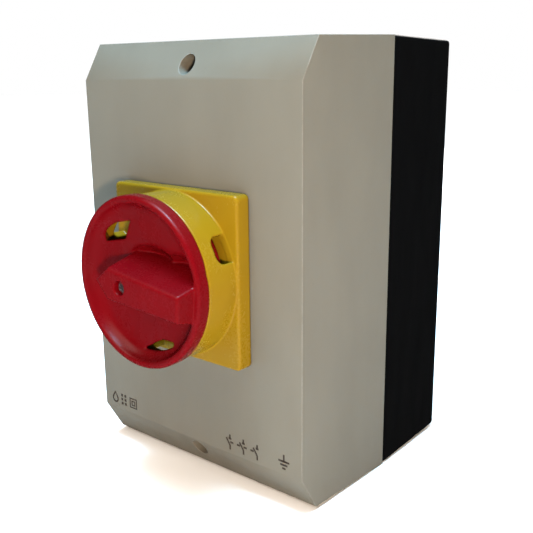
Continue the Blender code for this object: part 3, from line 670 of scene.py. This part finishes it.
def plate_field(x, y, z):
    """The yellow plate with its collar, windows, bores and notches."""
    r = np.hypot(x, y)
    outline = rounded_box(x, y, PLATE.right, PLATE.top, PLATE_CORNER)
    plate = both(both(outline, z - PLATE_FACE, PLATE_EDGE), PLATE.back - z, 0.4)
    collar = both(np.abs(r - (COLLAR_R + COLLAR_INNER_R) / 2) - (COLLAR_R - COLLAR_INNER_R) / 2,
                  np.maximum(z - PLATE.front, PLATE_FACE - 1 - z), 0.7)
    shape = either(plate, collar, 0.5)
    half_z = COLLAR_WINDOW_TOP - PLATE_FACE
    for angle in COLLAR_WINDOW_ANGLES:
        a = math.radians(angle)
        out, side = x * math.cos(a) + y * math.sin(a), y * math.cos(a) - x * math.sin(a)
        window = rounded_box(side, z - PLATE_FACE, COLLAR_WINDOW_HALF, half_z, COLLAR_WINDOW_ROUND)
        window = np.maximum(window, PLATE_FACE + 0.1 - z)
        shape = less(shape, np.maximum(window, COLLAR_INNER_R - COLLAR_WINDOW_CUT - out), 0.35)
    shape = less(shape, r - DRIVER_BORE_R, 0.4)
    radius, depth = SEAL_RECESS
    shape = less(shape, np.maximum(r - radius, z - PLATE.back - depth), 0.3)
    middle, half, depth = GASKET_GROOVE
    shape = less(shape, np.maximum(np.abs(r - middle) - half, z - PLATE.back - depth), 0.3)
    radius, depth = CORNER_DIMPLE
    corner = np.hypot(np.abs(x) - PLATE_SCREW_XY, np.abs(y) - PLATE_SCREW_XY)
    shape = less(shape, np.maximum(corner - radius, z - PLATE_FACE + depth), 0.3)
    middle, half, height, depth = NOTCH
    notch = np.maximum(np.abs(np.abs(x) - middle) - half, PLATE.top - height - np.abs(y))
    return less(shape, np.maximum(notch, z - PLATE.back - depth), 0.3)


def scoop(x, y, z, grow=0.0):
    """The two finger scoops beside the grip."""
    found = None
    for (cx, cy), radii in SCOOPS:
        rx, ry, rz = [radius + grow for radius in radii]
        hollow = (np.sqrt(((x - cx) / rx) ** 2 + ((y - cy) / ry) ** 2 + ((z - DISH_Z) / rz) ** 2) - 1) * ry
        found = hollow if found is None else either(found, hollow, 0.6)
    return found


def knob_field(x, y, z):
    """The red handle: rim, dish, skirt and hub, then its windows, scoops and grip."""
    r = np.hypot(x, y)
    rim = both(both(r - KNOB.right, z - RIM_TOP, 1.5), RIM_BACK - z, 0.7)
    disc = np.maximum(r - SKIRT_R, np.maximum(DISC_BACK - z, z - DISH_Z - 1))
    skirt = np.maximum(np.abs(r - SKIRT_R + SKIRT_WALL / 2) - SKIRT_WALL / 2,
                       np.maximum(SKIRT_BACK - z, z - DISH_Z))
    hub = np.maximum(r - HUB_R, np.maximum(KNOB.back - z, z - DISH_Z))
    shape = either(either(rim, disc, 0.4), either(skirt, hub, 0.4), 0.6)
    shape = either(shape, np.maximum(scoop(x, y, z, SCOOP_WALL), z - DISH_Z + 1), 0.6)
    wall = (r - DISH_R - DISH_FLARE * (z - DISH_Z)) / math.hypot(1.0, DISH_FLARE)
    shape = less(shape, both(wall, DISH_Z + DISH_CROWN * (r / DISH_R) ** 2 - z, DISH_FILLET), 1.0)
    shape = less(shape, scoop(x, y, z), SCOOP_FILLET)
    for outline in (WINDOW_UPPER, WINDOW_LOWER):
        behind = np.maximum(DISH_Z - z, 0.0)
        reach = WINDOW_REACH + WINDOW_UNDERCUT * np.minimum(behind, 1.0)
        window = both(polygon(x, y, outline) - WINDOW_FLARE * behind, r - reach, 0.8)
        shape = less(shape, np.maximum(window, SKIRT_BACK - 2 - z), 0.6)
    hole_x, hole_y, hole_r = PIN_HOLE
    shape = less(shape, np.hypot(x - hole_x, y - hole_y) - hole_r, 0.4)
    cos, sin = math.cos(GRIP_TURN), math.sin(GRIP_TURN)
    u, v = x * cos + y * sin, y * cos - x * sin
    side = polygon(u, v, GRIP_OUTLINE) - GRIP_DRAFT * (KNOB.front - z)
    side = side / math.hypot(1.0, GRIP_DRAFT)
    grip = both(both(side, u - GRIP_END, 1.1), z - KNOB.front, 1.4)
    shape = either(shape, np.maximum(grip, GRIP_BACK - z), 0.7)
    shape = less(shape, np.maximum(r - SCREW_RECESS_R, KNOB.front - SCREW_RECESS_DEPTH - z), 0.5)
    bores = np.minimum(np.maximum(r - HUB_BORE_R, z - HUB_BORE_TOP), r - SCREW_HOLE_R)
    return less(shape, bores, 0.3)


def cross_screw_field(x, y, z):
    """Pan-head screw with a tapered cross recess."""
    r = np.hypot(x, y)
    dome = np.sqrt(r ** 2 + (z - SCREW.front + HEAD_CROWN) ** 2) - HEAD_CROWN
    head = both(np.maximum(dome, SCREW.front - HEAD_HEIGHT - z), r - SCREW.right, 0.5)
    shank = both(r - SHANK_R, SCREW.back - z, 0.4)
    shape = either(head, np.maximum(shank, z - SCREW.front + SHANK_TOP), 0.3)
    depth = SCREW.front - z
    half_arm = 0.42 - 0.06 * depth
    reach = 1.75 - 0.45 * depth
    core = 0.75 - 0.2 * depth
    cos, sin = math.cos(CROSS_TURN), math.sin(CROSS_TURN)
    u, v = x * cos + y * sin, y * cos - x * sin
    cross = np.minimum(np.maximum(np.abs(u) - half_arm, np.abs(v) - reach),
                       np.maximum(np.abs(v) - half_arm, np.abs(u) - reach))
    recess = both(np.minimum(cross, r - core), depth - CROSS_DEPTH, 0.2)
    return less(shape, recess, 0.12)


def field_piece(name, field, node, step, body, slot):
    """A piece drawn from a distance field, in place of a CAD node."""
    box = WallBox(node)
    low = (box.left - 2 * step, box.bottom - 2 * step, box.back - 2 * step)
    high = (box.right + 2 * step, box.top + 2 * step, box.front + 2 * step)
    item = piece(name, surface(field, low, high, step), body, slot, node, weighted=False)


def arc(cx, cy, radius, start, end):
    """Points along an arc, with its angles in degrees."""
    steps = 14
    angles = [math.radians(start + (end - start) * i / steps) for i in range(steps + 1)]
    return [(cx + radius * math.cos(a), cy + radius * math.sin(a)) for a in angles]


def square(cx, cy, half):
    return [(cx + sx * half, cy + sy * half) for sx, sy in ((1, 1), (-1, 1), (-1, -1), (1, -1))]


def printed_marks():
    """Plain pictograms: drop, dust and double square on the left, switch poles and earth on the right."""
    low, high = COVER.front + 0.01, COVER.front + 0.05
    line = MARK_LINE
    drop_x, drop_y, drop_r = DROP
    drop = [(drop_x, drop_y + DROP_TIP)] + arc(drop_x, drop_y, drop_r, 25, -205)
    closed = [drop] + [square(*SQUARES_AT, half) for half in SQUARE_HALVES]
    strokes = []
    for x in DUST_X:
        for y in DUST_Y:
            strokes.append(([(x - MARK_DASH / 2, y), (x + MARK_DASH / 2, y)], MARK_DASH))
    for x in POLE_X:
        strokes += [([(x, -70.0), (x, -68.2)], line), ([(x, -68.3), (x - 2.0, -65.3)], line),
                    ([(x, -65.3), (x, -63.6)], line), ([(x - 0.7, -65.3), (x + 0.7, -65.3)], line)]
    for x in LINK_X:
        strokes.append(([(x, -66.8), (x + 1.6, -66.8)], line))
    for y, half in EARTH_BARS:
        strokes.append(([(EARTH_X - half, y), (EARTH_X + half, y)], line))
    strokes.append(([(EARTH_X, -66.2), (EARTH_X, -63.4)], line))
    ribbons = [ribbon(points, line, low, high, True) for points in closed]
    ribbons += [ribbon(points, width, low, high) for points, width in strokes]
    piece("printed_marks", merged(ribbons), "cover", "mark_ink")


def dress(node, slot):
    """Give a CAD node fine edges and its material."""
    item = frame["nodes"][node]
    size = min(item.dimensions) / MM
    weld = item.modifiers.new("weld", "WELD")
    weld.merge_threshold = WELD * MM
    rounding = item.modifiers.new("rounding", "BEVEL")
    rounding.width = min(BEVEL_LIMIT, BEVEL_SHARE * size) * MM
    rounding.segments = 2
    rounding.limit_method = "ANGLE"
    rounding.angle_limit = math.radians(SHARP)
    rounding.use_clamp_overlap = False
    item.modifiers.new("normals", "WEIGHTED_NORMAL")
    for place in item.material_slots:
        place.material = MATERIALS[slot]


def stage():
    """Pale floor, soft light from above, a low warm lamp on the right and a light behind."""
    bm = bmesh.new()
    bmesh.ops.create_circle(bm, cap_ends=True, segments=96, radius=FLOOR_RADIUS)
    bmesh.ops.translate(bm, vec=(0, 0, cad_box[0].z - FLOOR_GAP), verts=bm.verts)
    floor = linked("studio_floor", mesh_from(bm))
    floor.data.materials.append(MATERIALS["studio_paper"])
    floor.visible_glossy = False

    for name, light in SUNS.items():
        sun = bpy.data.lights.new(name, "SUN")
        sun.energy = light["strength"]
        sun.angle = math.radians(light["angle"])
        sun.color = light["colour"]
        aim(linked(name, sun), light["from"])
    for name, light in LAMPS.items():
        lamp = bpy.data.lights.new(name, "AREA")
        lamp.energy = light["watts"]
        lamp.size = light["size"]
        lamp.color = light["colour"]
        aim(linked(name, lamp), light["from"]).visible_glossy = light["glossy"]

    world = bpy.data.worlds.new("studio")
    bpy.context.scene.world = world
    world.use_nodes = True
    nodes, links = world.node_tree.nodes, world.node_tree.links
    background = nodes["Background"]
    background.inputs["Color"].default_value = WHITE
    background.inputs["Strength"].default_value = AMBIENT
    shown = nodes.new("ShaderNodeBackground")
    shown.inputs["Color"].default_value = WHITE
    shown.inputs["Strength"].default_value = 1.0
    path = nodes.new("ShaderNodeLightPath")
    choice = nodes.new("ShaderNodeMixShader")
    links.new(path.outputs["Is Camera Ray"], choice.inputs[0])
    links.new(background.outputs[0], choice.inputs[1])
    links.new(shown.outputs[0], choice.inputs[2])
    links.new(choice.outputs[0], nodes["World Output"].inputs["Surface"])


def aim(item, place):
    """Put a light at a place and point it at the handle's side of the box."""
    item.location = Vector(place)
    item.rotation_euler = (Vector(LIGHT_TARGET) - item.location).to_track_quat("-Z", "Y").to_euler()
    return item


def camera():
    lens = bpy.data.cameras.new("camera")
    lens.lens = LENS
    lens.sensor_width = 36.0
    lens.clip_start = 0.01
    item = linked("camera", lens)
    turn = (Matrix.Rotation(math.radians(CAMERA_AZIMUTH), 4, "Z")
            @ Matrix.Rotation(math.radians(90 - CAMERA_TILT), 4, "X")
            @ Matrix.Rotation(math.radians(CAMERA_ROLL), 4, "Z"))
    item.matrix_world = Matrix.Translation(CAMERA_AT) @ turn
    bpy.context.scene.camera = item


# ---------------------------------------------------------------- assembly

bpy.context.scene.view_settings.view_transform = "Standard"

camera()
stage()
cover_moulding()
base_moulding()
field_piece("plate_moulding", plate_field, "padlock_plate", FIELD_STEP, "cover", "lock_yellow")
field_piece("knob_moulding", knob_field, "handle_knob", FIELD_STEP, "handle", "handle_red")
field_piece("cross_head_screw", cross_screw_field, "handle_screw", SCREW_STEP, "handle", "zinc_steel")
printed_marks()
slots = {part["node"]: part["material_slot"] for part in frame["record"]["subparts"]}
for node in frame["nodes"]:
    if not frame["nodes"][node].hide_render:
        dress(node, slots[node])
